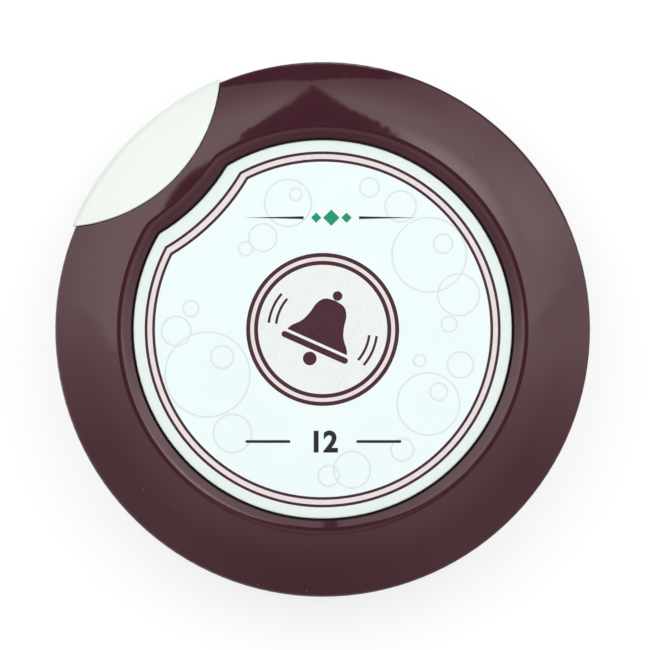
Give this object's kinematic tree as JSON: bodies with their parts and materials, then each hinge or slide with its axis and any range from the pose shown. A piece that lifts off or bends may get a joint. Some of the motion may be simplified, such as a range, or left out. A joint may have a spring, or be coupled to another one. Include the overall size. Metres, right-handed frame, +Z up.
{
  "type": "table call button",
  "caption": "Round battery-powered table call button: domed ring, spring-loaded push face with a notch, indicator lens in the rim, and a twist-off base plate.",
  "frame": {"origin": "centre of the underside, on the table", "axes": "+Z up through the push face, +X to the right and +Y away from the user, lens at the upper left"},
  "size_m": [0.062, 0.062, 0.017],
  "materials": {
    "maroon_gloss": "polished injection-moulded ABS",
    "maroon_matte": "fine spark-eroded moulded ABS",
    "lens_milky": "milky light-diffusing polycarbonate",
    "face_acrylic": "clear acrylic over a pale aqua print",
    "print_film": "printed polyester film",
    "cap_plastic": "moulded ABS",
    "foam": "closed-cell adhesive foam",
    "black_plastic": "moulded nylon",
    "stem_plastic": "moulded acetal",
    "board_green": "solder-masked glass fibre board",
    "zinc_steel": "zinc plated",
    "nickel_steel": "nickel plated",
    "spring_steel": "drawn spring wire",
    "tinned_copper": "tinned",
    "copper": "bare copper",
    "gasket_nylon": "moulded nylon",
    "cathode_powder": "pressed powder",
    "separator_felt": "fibre felt",
    "lithium_metal": "rolled foil",
    "led_white": "moulded reflector",
    "led_clear": "clear epoxy",
    "black_epoxy": "moulded epoxy",
    "resistor_black": "glazed ceramic",
    "ceramic_tan": "sintered ceramic"
  },
  "bodies": {
    "base": {"base_plate": "maroon_matte", "base_pad": "foam"},
    "housing": {"top_housing": "maroon_gloss", "bottom_housing": "maroon_matte", "indicator_lens": "lens_milky", "circuit_board": "board_green", "housing_screws": "zinc_steel", "board_screws": "zinc_steel", "switch_base": "black_plastic", "switch_cover": "zinc_steel", "switch_legs": "tinned_copper", "switch_dome": "spring_steel", "battery_holder": "black_plastic", "coin_cell_can": "nickel_steel", "coin_cell_gasket": "gasket_nylon", "coin_cell_cap": "nickel_steel", "coin_cell_cathode": "cathode_powder", "coin_cell_separator": "separator_felt", "coin_cell_anode": "lithium_metal", "positive_contact": "nickel_steel", "negative_contact": "nickel_steel", "indicator_leds": "led_white", "led_windows": "led_clear", "encoder_chip": "black_epoxy", "encoder_leads": "tinned_copper", "saw_resonator": "nickel_steel", "rf_transistor": "black_epoxy", "chip_resistors": "resistor_black", "chip_capacitors": "ceramic_tan", "antenna_trace": "copper", "tuning_coil": "copper", "return_springs": "spring_steel"},
    "button": {"face_plate": "face_acrylic", "graphic_sheet": "print_film", "button_cap": "cap_plastic"},
    "switch_stem": {"switch_stem": "stem_plastic"}
  },
  "joints": [
    {"name": "housing_twist", "type": "hinge", "parent": "base", "child": "housing", "pos_m": [0, 0, 0.0042], "axis": [0, 0, 1], "range_deg": [0, 30]},
    {"name": "button_press", "type": "slide", "parent": "housing", "child": "button", "axis": [0, 0, -1], "range_m": [0, 0.0006], "stiffness_N_per_m": 2500, "springref_m": -0.0003, "deforming": ["return_springs"]},
    {"name": "stem_press", "type": "slide", "parent": "housing", "child": "switch_stem", "axis": [0, 0, -1], "range_m": [0, 0.00025], "deforming": ["switch_dome"]}
  ],
  "couplings": [
    {"joint": "stem_press", "follows": "button_press", "ratio": 0.4166}
  ]
}
